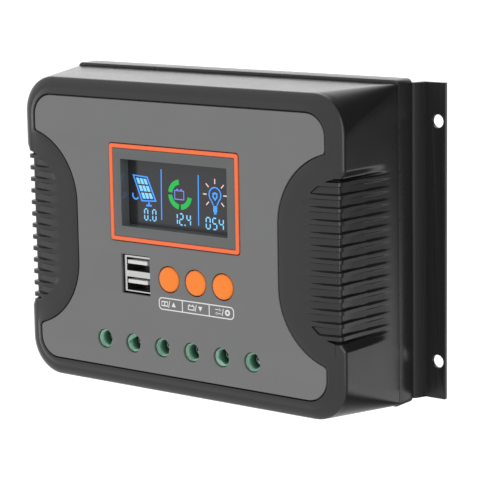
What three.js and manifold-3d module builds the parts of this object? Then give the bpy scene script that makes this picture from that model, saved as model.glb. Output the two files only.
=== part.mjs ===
// A wall-mounted solar charge controller, in millimetres, +Z up.
// The origin is the centre of the wall plane. X is the width, and the front faces -Y.
import * as THREE from 'three'
import { mergeVertices } from 'three/addons/utils/BufferGeometryUtils.js'
import Module from 'manifold-3d'

const wasm = await Module()
wasm.setup()

// ---- driving dimensions -------------------------------------------------------------
const GAP = 0.3                       // running clearance between neighbouring pieces
const FRONT_Y = -65                   // ahead of every piece, where cutters start
const HALF_RIM = { x: 83.5, z: 65 }   // front rim of the cover
const HALF_SEAM = { x: 84.6, z: 65.5, centre: 0.6 }  // back edge of the cover
const RIM_RADIUS = 15.5
const SEAM_RADIUS = 3.5
const PANEL_Y = -55.8                 // front plane of the grey panel
const RIM_Y = -52.2
const SEAM_Y = -17
const WALL = 2.5                      // thickness of the moulded walls
const FRONT_WALL = { front: -53.9, back: -51.7 }
const REAR_Z = 0.9                    // the rear pieces stand this much above the rim's middle

const PANEL = { x: 75.7, z: 57, centre: 0.4, radius: 9, thick: 1.6 }
const WAIST = { x: 52.7, radius: 31, straight: 12.4, centre: -0.2 }
const SCOOP = {
  offset: 10.5, half: 35.2, depth: 3.1, fullY: -48.2, backY: -24.2, ramp: 4.2, steps: [20, 26],
}
const SHOULDER = { x: 79, y: -54.6 }  // where the front starts to round over
const CORNER = { x: 82.4, y: -53.4 }
const RIB = { count: 13, pitch: 5.07, thick: 2, top: 30.2, sunk: 1.1, inset: 1.4, root: 0.8 }
// Rings of the cover's rounded front edge: how far each lies inside the rim and ahead of it.
const FRONT_EDGE = [
  { inside: 6.5, ahead: 3.4, sharper: 5 },
  { inside: 1.6, ahead: 1.6, sharper: 1.3 },
  { inside: 0.4, ahead: 0.7, sharper: 0.3 },
]

const TRIM = { x: 33.9, z: 20.4, centre: 18.8, line: 1.8, radius: 1.3, inside: 0.4 }
const WINDOW = { x: 28, z: 14.1, radius: 0.5 }
const LCD_Y = -50.5                   // front of the display glass
const LCD_HOLDER = { x: 33, z: 19 }
const LCD_GLASS = { x: 31, z: 17, thick: 1.8 }

const BUTTON = { radius: 5.3, first: -3.25, pitch: 14.07, z: -15.7, stemEnd: -48.7 }
const USB = { x: -21.2, z: -15.6, halfX: 6.95, halfZ: 7.6, front: -55.4, slack: 0.75 }
const USB_PORT = { skin: 0.6, divider: 2.6, tongueX: 5.3, tongueLow: 0.1, tongueHigh: 1.7 }
const TERMINAL = { count: 6, pitch: 15.69, z: -45.1, collar: 3.85, well: 3.1, sunk: 1.7 }
const ROUND_SIDES = 24                // sides of the wells, collars and holes in sight
const BLOCK = { front: -49, low: -16.6, high: 8.6 }
const CHAMBER = { x: 5.7, z: 6.7, front: -47.1 }
const WIRE_WAY = { x: 4.6, front: -38.5, back: -31.2 }
const CAGE = { x: 5.3, low: -6.2, high: 3.8, front: -43.3, back: -30.3, wall: 1.3 }
const CLAMP_SCREW = { head: 2.8, front: -49.8, neck: -47.8, shank: 1.95, end: -40.2 }

const DISPLAY_BOARD = { front: -40.8, back: -39.2, x: 39, bottom: -31, top: 42 }
const MAIN_BOARD = { front: -28.8, back: -27.2, x: 70, z: 60 }

const SINK = { x: 82, z: 64.7, front: -16, back: -13, wall: 2, step: -6.9 }
const FLANGE = { front: 85.6, corner: 87.6, thick: 2, chamfer: 0.6 }
const EAR = { x: 96.5, thick: 1.7, holeX: 93.1, holeZ: 49.2, holeRadius: 2.75 }
const FIN = { thick: 1.8, pitch: 10.8, perSide: 6 }
const FRAME = { x: 84.6, z: 66.45, front: -16.7, back: -7.2, wall: 2.1, radius: 2.2 }
const CASE_SCREW = { x: 75, z: 56.5, radius: 1.5, head: 3.1, tip: -35, boss: 4.2 }
const STANDOFF = { x: 63, z: 53, radius: 3, stud: 1.4, hole: 1.8 }
const BOARD_POST = { x: 36, inset: 3, radius: 2.6, pin: 1.2, hole: 1.5 }
const WIRE_SLOT = { x: 48.5, front: -42, back: -27.8 }

const LINK = { x: 12, low: -30.5, high: -27.5 }
const THERMAL_PAD = { x: 40, low: 8, high: 28, thick: 0.5 }
const TRANSISTOR = { count: 4, pitch: 18, z: 18, x: 5, lead: 0.8, leadPitch: 2.54 }
const CAPACITOR = { x: 57, z: 44, radius: 7.8, height: 20, groove: 2 }
const FUSE = { x: -60, z: -40, bodyX: 3, bodyZ: 8, holder: 8, height: 13 }

// ---- materials ----------------------------------------------------------------------
const finish = (color, roughness, metalness) =>
  new THREE.MeshStandardMaterial({ color, roughness, metalness, flatShading: true })

const MATERIALS = {
  charcoal: finish(0x47474a, 0.5, 0),
  panel: finish(0x777a7c, 0.55, 0),
  orange: finish(0xfd8d3e, 0.45, 0),
  bezel: finish(0x6b7071, 0.25, 0),
  glass: finish(0x1a1c22, 0.1, 0),
  white: finish(0xe6e6e2, 0.6, 0),
  black: finish(0x1b1b1d, 0.55, 0),
  board: finish(0x1f5a35, 0.5, 0),
  green: finish(0x3d6752, 0.45, 0),
  steel: finish(0xb9bbbd, 0.3, 1),
  brass: finish(0xb89b5a, 0.3, 1),
  sink: finish(0x26272a, 0.45, 0.9),
  pad: finish(0x9aa6b4, 0.8, 0),
}

// ---- geometry helpers ---------------------------------------------------------------
function solidOf(geometry) {
  const bare = geometry.clone()
  bare.deleteAttribute('normal')
  bare.deleteAttribute('uv')
  const merged = mergeVertices(bare, 1e-5)
  return new wasm.Manifold(new wasm.Mesh({
    numProp: 3,
    vertProperties: merged.attributes.position.array,
    triVerts: new Uint32Array(merged.index.array),
  }))
}

function geometryOf(solid) {
  const mesh = solid.getMesh()
  const geometry = new THREE.BufferGeometry()
  geometry.setAttribute('position', new THREE.BufferAttribute(mesh.vertProperties, 3))
  geometry.setIndex(new THREE.BufferAttribute(mesh.triVerts, 1))
  geometry.computeVertexNormals()
  return geometry
}

// A box from its lowest and highest corners.
function box(x0, x1, y0, y1, z0, z1) {
  const geometry = new THREE.BoxGeometry(x1 - x0, y1 - y0, z1 - z0)
  geometry.translate((x0 + x1) / 2, (y0 + y1) / 2, (z0 + z1) / 2)
  return solidOf(geometry)
}

// A round bar along Y.
function rod(x, z, radius, y0, y1, sides = 16) {
  const geometry = new THREE.CylinderGeometry(radius, radius, y1 - y0, sides)
  geometry.translate(x, (y0 + y1) / 2, z)
  return solidOf(geometry)
}

// A turned piece about the Y axis through (x, z), from [radius, y] points that end on the axis.
function turned(x, z, profile, sides = 16) {
  const points = profile.map(([radius, y]) => new THREE.Vector2(radius, y))
  const geometry = new THREE.LatheGeometry(points, sides)
  geometry.translate(x, 0, z)
  return solidOf(geometry)
}

// A flat plate whose outline is drawn in X and Z, from y0 at the front to y1 at the back.
function plate(shape, y0, y1, curveSegments = 4) {
  const geometry = new THREE.ExtrudeGeometry(shape, {
    depth: y1 - y0, bevelEnabled: false, curveSegments,
  })
  geometry.rotateX(Math.PI / 2)
  geometry.translate(0, y1, 0)
  return solidOf(geometry)
}

// A flat slab whose outline is drawn in X and Y, from z0 up to z1.
function slab(points, z0, z1) {
  const shape = new THREE.Shape(points.map(([x, y]) => new THREE.Vector2(x, y)))
  const geometry = new THREE.ExtrudeGeometry(shape, { depth: z1 - z0, bevelEnabled: false })
  geometry.translate(0, 0, z0)
  return solidOf(geometry)
}

function roundedRect(halfX, halfZ, radius, centreX = 0, centreZ = 0) {
  const shape = new THREE.Shape()
  const [left, right] = [centreX - halfX, centreX + halfX]
  const [low, high] = [centreZ - halfZ, centreZ + halfZ]
  shape.moveTo(left + radius, low)
  shape.lineTo(right - radius, low)
  shape.absarc(right - radius, low + radius, radius, -Math.PI / 2, 0)
  shape.lineTo(right, high - radius)
  shape.absarc(right - radius, high - radius, radius, 0, Math.PI / 2)
  shape.lineTo(left + radius, high)
  shape.absarc(left + radius, high - radius, radius, Math.PI / 2, Math.PI)
  shape.lineTo(left, low + radius)
  shape.absarc(left + radius, low + radius, radius, Math.PI, Math.PI * 1.5)
  return shape
}

// One ring of a rounded rectangle in the plane y, always with the same number of points.
function ring(halfX, halfZ, radius, y, centreZ = 0, perCorner = 5) {
  const corners = [[1, -1], [1, 1], [-1, 1], [-1, -1]]
  return corners.flatMap(([sx, sz], corner) =>
    Array.from({ length: perCorner }, (_, i) => {
      const angle = (corner - 1 + i / (perCorner - 1)) * Math.PI / 2
      return [
        sx * (halfX - radius) + radius * Math.cos(angle),
        y,
        centreZ + sz * (halfZ - radius) + radius * Math.sin(angle),
      ]
    }))
}

const average = (points) => [0, 1, 2].map(
  (axis) => points.reduce((sum, point) => sum + point[axis], 0) / points.length)

// A closed solid through rings of equal length. Each end is capped by a fan about a hub,
// a point of the ring's own plane that sees the whole ring.
function loft(rings, hub = average) {
  const sides = rings[0].length
  const vertices = [...rings.flat(), hub(rings[0]), hub(rings.at(-1))]
  const firstCap = rings.length * sides
  const lastCap = firstCap + 1
  const lastRing = (rings.length - 1) * sides
  const triangles = []
  for (let i = 0; i < sides; i += 1) {
    const next = (i + 1) % sides
    triangles.push(firstCap, i, next)
    triangles.push(lastCap, lastRing + next, lastRing + i)
    for (let level = 0; level < rings.length - 1; level += 1) {
      const near = level * sides
      const far = near + sides
      triangles.push(near + i, far + i, far + next)
      triangles.push(near + i, far + next, near + next)
    }
  }
  const geometry = new THREE.BufferGeometry()
  geometry.setAttribute('position', new THREE.Float32BufferAttribute(vertices.flat(), 3))
  geometry.setIndex(triangles)
  return solidOf(geometry)
}

const mirrored = (solid) => solid.mirror([1, 0, 0])
const fromCentre = (index, count) => index - (count - 1) / 2
const terminalX = (index) => fromCentre(index, TERMINAL.count) * TERMINAL.pitch
const buttonX = (index) => BUTTON.first + index * BUTTON.pitch

// ---- the group ----------------------------------------------------------------------
const group = new THREE.Group()

function addPiece(name, material, solid) {
  const mesh = new THREE.Mesh(geometryOf(solid), MATERIALS[material])
  mesh.name = name
  group.add(mesh)
}

// ---- front panel outline ------------------------------------------------------------
// A rounded plate with a waist: each side is two concave arcs joined by a short straight.
function panelShape(grow) {
  const halfX = PANEL.x + grow
  const halfZ = PANEL.z + grow
  const radius = PANEL.radius + grow
  const arc = WAIST.radius - grow
  const arcX = WAIST.x + WAIST.radius
  const reach = Math.sqrt(arc ** 2 - (arcX - halfX) ** 2)
  const turn = Math.asin(reach / arc)
  const low = PANEL.centre - halfZ
  const high = PANEL.centre + halfZ
  const upper = WAIST.centre + WAIST.straight
  const lower = WAIST.centre - WAIST.straight
  const shape = new THREE.Shape()
  shape.moveTo(-halfX + radius, low)
  shape.lineTo(halfX - radius, low)
  shape.absarc(halfX - radius, low + radius, radius, -Math.PI / 2, 0)
  shape.lineTo(halfX, lower - reach)
  shape.absarc(arcX, lower, arc, Math.PI + turn, Math.PI, true)
  shape.lineTo(arcX - arc, upper)
  shape.absarc(arcX, upper, arc, Math.PI, Math.PI - turn, true)
  shape.lineTo(halfX, high - radius)
  shape.absarc(halfX - radius, high - radius, radius, 0, Math.PI / 2)
  shape.lineTo(-halfX + radius, high)
  shape.absarc(-halfX + radius, high - radius, radius, Math.PI / 2, Math.PI)
  shape.lineTo(-halfX, upper + reach)
  shape.absarc(-arcX, upper, arc, turn, 0, true)
  shape.lineTo(-arcX + arc, lower)
  shape.absarc(-arcX, lower, arc, 0, -turn, true)
  shape.lineTo(-halfX, low + radius)
  shape.absarc(-halfX + radius, low + radius, radius, Math.PI, Math.PI * 1.5)
  return shape
}

// ---- side scoops and ribs -----------------------------------------------------------
// X where a scoop begins on the front face, at a height measured from the scoop's middle.
function scoopStart(height) {
  const radius = WAIST.radius - SCOOP.offset
  const rise = Math.min(Math.max(Math.abs(height) - WAIST.straight, 0), radius * 0.94)
  return WAIST.x + WAIST.radius - Math.sqrt(radius ** 2 - rise ** 2)
}

// The cover's skin in plan, from the front face round the corner to the back of a scoop.
// sink is how far the skin is pushed in: 0 on the rim, SCOOP.depth on a scoop's floor.
function skinProfile(startX, sink) {
  const sideX = (y) => HALF_RIM.x + (HALF_SEAM.x - HALF_RIM.x) * (y - RIM_Y) / (SEAM_Y - RIM_Y)
  return [
    [startX, PANEL_Y + 0.2 + sink * 0.12],
    [Math.max(startX + 0.4, SHOULDER.x - sink * 0.6), SHOULDER.y + sink * 0.82],
    [CORNER.x - sink * 0.85, CORNER.y + sink * 0.75],
    [HALF_RIM.x - sink, RIM_Y + sink * 0.5],
    [sideX(SCOOP.fullY) - sink, SCOOP.fullY],
    [sideX(SCOOP.backY) + 0.5, SCOOP.backY],
  ]
}

// The space outside the floor of the right-hand scoop. grow thickens it inwards.
function scoopCutter(grow) {
  const outside = HALF_RIM.x + 11.5
  const half = SCOOP.half + grow
  const upward = [WAIST.straight, ...SCOOP.steps, half - SCOOP.ramp, half]
  const heights = [...upward.map((height) => -height).reverse(), ...upward]
  const rings = heights.map((height) => {
    const atEnd = Math.abs(height) === half
    const startX = Math.min(scoopStart(height), SHOULDER.x) - grow
    const sink = atEnd ? grow - 1 : SCOOP.depth + grow
    const floor = skinProfile(startX, sink)
    const lastY = SCOOP.backY + grow
    const loop = [...floor, [outside, lastY], [outside, FRONT_Y], [startX, FRONT_Y]]
    return loop.map(([x, y]) => [x, y, height + WAIST.centre])
  })
  return loft(rings, (loop) => [outside - 4, FRONT_Y + 3, loop[0][2]])
}

// One rib: a slab that follows the skin, a little below the rim's surface.
function rib(index) {
  const middle = RIB.top - index * RIB.pitch
  const startX = Math.min(scoopStart(middle - WAIST.centre) + RIB.inset, SHOULDER.x - 1)
  const tip = skinProfile(startX, RIB.sunk)
  const root = skinProfile(startX, SCOOP.depth + RIB.root).reverse()
  return slab([...tip.slice(0, -1), [HALF_RIM.x - 0.4, SCOOP.backY - 4], ...root.slice(1)],
    middle - RIB.thick / 2, middle + RIB.thick / 2)
}

// ---- housing pieces -----------------------------------------------------------------
function coverSkin() {
  const { x, z } = HALF_RIM
  const edge = FRONT_EDGE.map(({ inside, ahead, sharper }) =>
    ring(x - inside, z - inside, RIM_RADIUS - sharper, RIM_Y - ahead))
  return loft([
    ...edge,
    ring(x, z, RIM_RADIUS, RIM_Y),
    ring(HALF_SEAM.x, HALF_SEAM.z, SEAM_RADIUS, SEAM_Y, HALF_SEAM.centre),
  ])
}

function coverCavity() {
  const inside = loft([
    ring(75, 56.5, 9, FRONT_WALL.back),
    ring(80.7, 62.2, 13.5, RIM_Y + 2.2),
    ring(HALF_SEAM.x - WALL, HALF_SEAM.z - WALL, 2.5, SEAM_Y + 1, HALF_SEAM.centre),
  ])
  const scoop = scoopCutter(WALL - 0.3)
  return inside.subtract(scoop).subtract(mirrored(scoop))
}

// The holes for the socket, the buttons and the screwdriver wells, in panel and cover alike.
function controlCutter() {
  const [halfX, halfZ] = [USB.halfX + USB.slack, USB.halfZ + USB.slack]
  let cutter = box(USB.x - halfX, USB.x + halfX, FRONT_Y, BLOCK.front,
    USB.z - halfZ, USB.z + halfZ)
  for (let index = 0; index < 3; index += 1) {
    cutter = cutter.add(rod(buttonX(index), BUTTON.z, BUTTON.radius + 0.35, FRONT_Y, BLOCK.front))
  }
  for (let index = 0; index < TERMINAL.count; index += 1) {
    cutter = cutter.add(
      rod(terminalX(index), TERMINAL.z, TERMINAL.collar + GAP, FRONT_Y, BLOCK.front, ROUND_SIDES))
  }
  return cutter
}

// The four places where the display board sits on the cover's posts.
const boardPosts = () => [-BOARD_POST.x, BOARD_POST.x].flatMap((x) => [
  [x, DISPLAY_BOARD.bottom + BOARD_POST.inset], [x, DISPLAY_BOARD.top - BOARD_POST.inset]])

// The four corners of a rectangle about the origin.
const cornersOf = ({ x, z }) => [[-x, -z], [-x, z], [x, -z], [x, z]]

function frontCover() {
  const scoop = scoopCutter(0)
  let cover = coverSkin().subtract(scoop).subtract(mirrored(scoop))
  for (let index = 0; index < RIB.count; index += 1) {
    const right = rib(index)
    cover = cover.add(right).add(mirrored(right))
  }
  cover = cover.subtract(coverCavity())
  for (const [x, z] of cornersOf(CASE_SCREW)) {
    const boss = rod(x, z, CASE_SCREW.boss, FRONT_WALL.back + 0.9, SINK.front - GAP - 1)
    const pilot = rod(x, z, CASE_SCREW.radius + GAP, CASE_SCREW.tip - 1, 0, 12)
    cover = cover.add(boss).subtract(pilot)
  }
  // Heat-staked posts that carry the display board.
  for (const [x, z] of boardPosts()) {
    const post = rod(x, z, BOARD_POST.radius, FRONT_WALL.back - 0.5, DISPLAY_BOARD.front - GAP, 10)
    const pin = rod(x, z, BOARD_POST.pin, DISPLAY_BOARD.front - 1, DISPLAY_BOARD.back + 0.9, 10)
    cover = cover.add(post).add(pin)
  }
  cover = cover.subtract(plate(panelShape(0.35), FRONT_Y, FRONT_WALL.front, 6))
  cover = cover.subtract(plate(
    roundedRect(WINDOW.x + 2.2, WINDOW.z + 2.2, 1.5, 0, TRIM.centre), FRONT_Y, BLOCK.front, 3))
  cover = cover.subtract(controlCutter())
  // The slot in the bottom wall, where the wires go in.
  return cover.subtract(
    box(-WIRE_SLOT.x, WIRE_SLOT.x, WIRE_SLOT.front, WIRE_SLOT.back, -80, -62))
}

function frontPanel() {
  const back = PANEL_Y + PANEL.thick
  let panel = plate(panelShape(0), PANEL_Y, back, 6)
  panel = panel.subtract(plate(roundedRect(
    TRIM.x + GAP, TRIM.z + GAP, TRIM.radius + GAP, 0, TRIM.centre), FRONT_Y, BLOCK.front, 5))
  return panel.subtract(controlCutter())
}

function rearFrame() {
  const outer = roundedRect(FRAME.x, FRAME.z, FRAME.radius, 0, REAR_Z)
  const inner = roundedRect(FRAME.x - FRAME.wall, SINK.z + GAP, 1, 0, REAR_Z)
  return plate(outer, FRAME.front, FRAME.back, 4).subtract(plate(inner, FRAME.front - 1, 0, 2))
}

// The right-hand flange and ear in plan: a step outwards, a leaning wall and the flat ear.
function flangeProfile() {
  const root = SINK.x - SINK.wall
  const { front, corner, thick, chamfer } = FLANGE
  return [
    [root, SINK.step], [front - chamfer, SINK.step], [front, SINK.step + chamfer],
    [corner, -EAR.thick], [EAR.x, -EAR.thick], [EAR.x, 0], [corner - thick, 0],
    [front - thick, SINK.step + thick], [root, SINK.step + thick],
  ]
}

// An extrusion along Z: a base plate, side walls, flanges with ears, and the fins.
function heatSink() {
  const low = REAR_Z - SINK.z
  const high = REAR_Z + SINK.z
  let sink = box(-SINK.x, SINK.x, SINK.front, SINK.back, low, high)
  const wall = box(SINK.x - SINK.wall, SINK.x, SINK.front, SINK.step, low, high)
  const right = wall.add(slab(flangeProfile(), low, high))
  sink = sink.add(right).add(mirrored(right))
  for (const side of [-1, 1]) {
    for (const z of [-EAR.holeZ, EAR.holeZ]) {
      sink = sink.subtract(
        rod(side * EAR.holeX, REAR_Z + z, EAR.holeRadius, SINK.step, -SINK.step, ROUND_SIDES))
    }
  }
  for (const [x, z] of cornersOf(CASE_SCREW)) {
    const hole = rod(x, z, CASE_SCREW.radius + GAP, SINK.front - 1, SINK.back + 1, 12)
    sink = sink.subtract(hole)
  }
  for (let index = -FIN.perSide; index <= FIN.perSide; index += 1) {
    const x = index * FIN.pitch
    sink = sink.add(box(x - FIN.thick / 2, x + FIN.thick / 2, SINK.back - 0.5, 0, low, high))
  }
  return sink
}

// A cross-shaped cutter for a screw head's recess.
function crossRecess(x, z, reach, half, y0, y1) {
  return box(x - reach, x + reach, y0, y1, z - half, z + half)
    .add(box(x - half, x + half, y0, y1, z - reach, z + reach))
}

// A self-tapping screw that goes in from the back.
function caseScrew(x, z) {
  const seat = SINK.back + GAP
  const { radius, head, tip } = CASE_SCREW
  const screw = turned(x, z, [
    [0, tip], [0.7, tip], [radius, tip + 2], [radius, seat],
    [head, seat], [head, seat + 1.4], [2, seat + 2.2], [0, seat + 2.2],
  ], 12)
  return screw.subtract(crossRecess(x, z, 1.6, 0.4, seat + 1.1, seat + 3))
}

function addHousing() {
  addPiece('front_cover', 'charcoal', frontCover())
  addPiece('front_panel', 'panel', frontPanel())
  addPiece('rear_frame', 'black', rearFrame())
  addPiece('heat_sink', 'sink', heatSink())
  cornersOf(CASE_SCREW).forEach(([x, z], index) => {
    addPiece(`case_screw_${index + 1}`, 'steel', caseScrew(x, z))
  })
}

// ---- display ------------------------------------------------------------------------
function addDisplay() {
  const frame = (x, z, radius, y0, y1) =>
    plate(roundedRect(x, z, radius, 0, TRIM.centre), y0, y1, 4)
  const inner = { x: TRIM.x - TRIM.line, z: TRIM.z - TRIM.line }
  const trim = frame(TRIM.x, TRIM.z, TRIM.radius, PANEL_Y - 0.3, FRONT_WALL.front - GAP)
    .subtract(frame(inner.x, inner.z, TRIM.inside, FRONT_Y, 0))
  addPiece('display_trim', 'orange', trim)

  const face = frame(inner.x - GAP, inner.z - GAP, TRIM.inside, PANEL_Y, FRONT_WALL.front - GAP)
  const skirt = frame(WINDOW.x + 1.8, WINDOW.z + 1.8, 1.4, PANEL_Y, LCD_Y - GAP)
  const opening = frame(WINDOW.x, WINDOW.z, WINDOW.radius, FRONT_Y, 0)
  addPiece('display_bezel', 'bezel', face.add(skirt).subtract(opening))

  const glassBack = LCD_Y + LCD_GLASS.thick
  addPiece('lcd_glass', 'glass', frame(LCD_GLASS.x, LCD_GLASS.z, 0.8, LCD_Y, glassBack))
  const lampFront = glassBack + GAP
  const lampBack = lampFront + 3
  addPiece('lcd_backlight', 'white',
    frame(LCD_GLASS.x - 1, LCD_GLASS.z - 1, 0.8, lampFront, lampBack))
  const holder = frame(LCD_HOLDER.x, LCD_HOLDER.z, 1, LCD_Y + 0.3, DISPLAY_BOARD.front - GAP)
    .subtract(frame(LCD_GLASS.x + GAP, LCD_GLASS.z + GAP, 0.9, FRONT_Y, lampBack + GAP))
  addPiece('lcd_holder', 'black', holder)
}

// ---- buttons and their switches -----------------------------------------------------
function addButtons() {
  const flange = FRONT_WALL.back + 0.5
  const { stemEnd } = BUTTON
  const switchFront = DISPLAY_BOARD.front - 3.9
  for (let index = 0; index < 3; index += 1) {
    const x = buttonX(index)
    const name = `button_${index + 1}`
    addPiece(`${name}_cap`, 'orange', turned(x, BUTTON.z, [
      [0, PANEL_Y - 0.9], [3, PANEL_Y - 0.75], [4.7, PANEL_Y - 0.3],
      [BUTTON.radius, PANEL_Y + 0.4],
      [BUTTON.radius, flange], [6.4, flange], [6.4, flange + 1], [2.1, flange + 1],
      [2.1, stemEnd], [0, stemEnd],
    ], ROUND_SIDES))
    addPiece(`${name}_plunger`, 'black', turned(x, BUTTON.z, [
      [0, stemEnd + GAP], [1.6, stemEnd + GAP], [1.6, switchFront + 1.4], [0, switchFront + 1.4],
    ], 12))
    const body = box(x - 3, x + 3, switchFront, DISPLAY_BOARD.front - GAP,
      BUTTON.z - 3, BUTTON.z + 3)
    const well = rod(x, BUTTON.z, 1.9, FRONT_Y, switchFront + 2.4, 12)
    addPiece(`${name}_switch`, 'black', body.subtract(well))
  }
}

// ---- double USB socket --------------------------------------------------------------
function addUsb() {
  const back = DISPLAY_BOARD.front - GAP
  const { skin, divider, tongueX, tongueLow, tongueHigh } = USB_PORT
  const portHalfZ = (USB.halfZ - skin - divider / 2) / 2
  const portCentre = portHalfZ + divider / 2
  const [left, right] = [USB.x - USB.halfX, USB.x + USB.halfX]
  const tray = { front: back - 2.6, x: USB.halfX - skin, z: USB.halfZ - skin }
  let shell = box(left, right, USB.front, back, USB.z - USB.halfZ, USB.z + USB.halfZ)
  shell = shell.subtract(box(USB.x - tray.x, USB.x + tray.x, tray.front, back + 1,
    USB.z - tray.z, USB.z + tray.z))
  let insulator = box(USB.x - tray.x + GAP, USB.x + tray.x - GAP, tray.front + GAP, back - GAP,
    USB.z - tray.z + GAP, USB.z + tray.z - GAP)
  for (const side of [-1, 1]) {
    const z = USB.z + side * portCentre
    shell = shell.subtract(box(left + skin, right - skin, USB.front - 1, tray.front + 1,
      z - portHalfZ, z + portHalfZ))
    insulator = insulator.add(box(USB.x - tongueX, USB.x + tongueX, USB.front + 1,
      tray.front + 1, z + tongueLow, z + tongueHigh))
  }
  addPiece('usb_shell', 'steel', shell)
  addPiece('usb_insulator', 'white', insulator)
}

// ---- wire terminals -----------------------------------------------------------------
function terminalChamber(x) {
  const { z, well } = TERMINAL
  return box(x - CHAMBER.x, x + CHAMBER.x, CHAMBER.front, MAIN_BOARD.front + 1,
    z - CHAMBER.z, z + CHAMBER.z)
    .add(box(x - WIRE_WAY.x, x + WIRE_WAY.x, WIRE_WAY.front, WIRE_WAY.back, -70, z - 6))
    .add(rod(x, z, well, FRONT_Y, CHAMBER.front + 0.3, ROUND_SIDES))
}

// Each block carries two terminals.
function terminalHousing(pair) {
  const middle = terminalX(pair * 2) + TERMINAL.pitch / 2
  const half = TERMINAL.pitch - 0.2
  const { z } = TERMINAL
  let housing = box(middle - half, middle + half, BLOCK.front, MAIN_BOARD.front - GAP,
    z + BLOCK.low, z + BLOCK.high)
  for (const x of [terminalX(pair * 2), terminalX(pair * 2 + 1)]) {
    housing = housing.add(
      rod(x, z, TERMINAL.collar, PANEL_Y + TERMINAL.sunk, CHAMBER.front - 0.7, ROUND_SIDES))
    housing = housing.subtract(terminalChamber(x))
  }
  return housing
}

function terminalScrew(x) {
  const { z } = TERMINAL
  const { head: radius, front, neck, shank, end } = CLAMP_SCREW
  const head = turned(x, z, [
    [0, front], [radius - 0.4, front], [radius, front + 0.4], [radius, neck],
    [shank, neck], [shank, end], [0, end],
  ])
  return head.subtract(crossRecess(x, z, 1.9, 0.45, front - 1, front + 1))
}

function terminalCage(x) {
  const { z } = TERMINAL
  const { x: half, low, high, front, back, wall } = CAGE
  return box(x - half, x + half, front, back, z + low, z + high)
    .subtract(box(x - half + 1, x + half - 1, front + wall, back - wall, z + low - 1, z + high + 1))
    .subtract(rod(x, z, CLAMP_SCREW.shank + 0.35, front - 1, front + wall + 1, 16))
}

function terminalContact(x) {
  const front = CLAMP_SCREW.end + GAP
  const { z } = TERMINAL
  return box(x - 3.2, x + 3.2, front, front + 1, z - 6.4, z + 6.1)
    .add(box(x - 1.2, x + 1.2, front + 0.5, MAIN_BOARD.back + 1.2, z + 5.1, z + 6.1))
}

function addTerminals() {
  for (let pair = 0; pair < TERMINAL.count / 2; pair += 1) {
    addPiece(`terminal_block_${pair + 1}`, 'green', terminalHousing(pair))
  }
  for (let index = 0; index < TERMINAL.count; index += 1) {
    const x = terminalX(index)
    addPiece(`terminal_screw_${index + 1}`, 'steel', terminalScrew(x))
    addPiece(`terminal_cage_${index + 1}`, 'brass', terminalCage(x))
    addPiece(`terminal_contact_${index + 1}`, 'brass', terminalContact(x))
  }
}

// ---- boards and electronics ---------------------------------------------------------
function displayBoard() {
  let board = box(-DISPLAY_BOARD.x, DISPLAY_BOARD.x, DISPLAY_BOARD.front, DISPLAY_BOARD.back,
    DISPLAY_BOARD.bottom, DISPLAY_BOARD.top)
  for (const [x, z] of boardPosts()) {
    board = board.subtract(rod(x, z, BOARD_POST.hole, FRONT_Y, 0, 10))
  }
  return board
}

function mainBoard() {
  let board = box(-MAIN_BOARD.x, MAIN_BOARD.x, MAIN_BOARD.front, MAIN_BOARD.back,
    -MAIN_BOARD.z, MAIN_BOARD.z)
  for (const [x, z] of cornersOf(STANDOFF)) {
    board = board.subtract(rod(x, z, STANDOFF.hole, FRONT_Y, 0, 10))
  }
  for (let index = 0; index < TERMINAL.count; index += 1) {
    const x = terminalX(index)
    board = board.subtract(
      box(x - 1.6, x + 1.6, FRONT_Y, 0, TERMINAL.z + 4.7, TERMINAL.z + 6.5))
  }
  return board
}

// A flat tab against the thermal pad, a moulded body and three leads bent to the board.
function transistor(x) {
  const { z, x: half, lead, leadPitch } = TRANSISTOR
  const face = SINK.front - GAP - THERMAL_PAD.thick - GAP
  let part = box(x - half, x + half, face - 1.3, face, z - 5, z + 9)
  part = part.add(box(x - half, x + half, face - 4.4, face, z - 8, z + 1))
  for (const offset of [-leadPitch, 0, leadPitch]) {
    const [left, right] = [x + offset - lead / 2, x + offset + lead / 2]
    part = part.add(box(left, right, face - 2.6, face - 2, z - 12, z - 7))
    part = part.add(box(left, right, MAIN_BOARD.back + GAP, face - 2, z - 12, z - 11.3))
  }
  return part
}

// A sleeved can with a groove near its foot.
function capacitor(x) {
  const foot = MAIN_BOARD.front - GAP
  const top = foot - CAPACITOR.height
  const { z, radius, groove } = CAPACITOR
  return turned(x, z, [
    [0, top], [radius - 0.8, top], [radius, top + 0.8], [radius, foot - groove - 0.6],
    [radius - 0.6, foot - groove], [radius, foot - groove + 0.6], [radius, foot], [0, foot],
  ])
}

function bladeFuse() {
  const { x, z, bodyX, bodyZ, holder, height } = FUSE
  const foot = MAIN_BOARD.front - GAP
  return box(x - bodyX, x + bodyX, foot - holder, foot, z - bodyZ, z + bodyZ)
    .add(box(x - bodyX + 1.2, x + bodyX - 1.2, foot - height, foot - holder + 1,
      z - bodyZ + 1.5, z + bodyZ - 1.5))
}

// A round pillar under the main board, with a short stud through it.
function standoff(x, z) {
  const { radius, stud } = STANDOFF
  const [tip, shoulder] = [MAIN_BOARD.front - 1.6, MAIN_BOARD.back + GAP]
  return turned(x, z, [
    [0, tip], [stud, tip], [stud, shoulder], [radius, shoulder],
    [radius, SINK.front - GAP], [0, SINK.front - GAP],
  ], 12)
}

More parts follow.
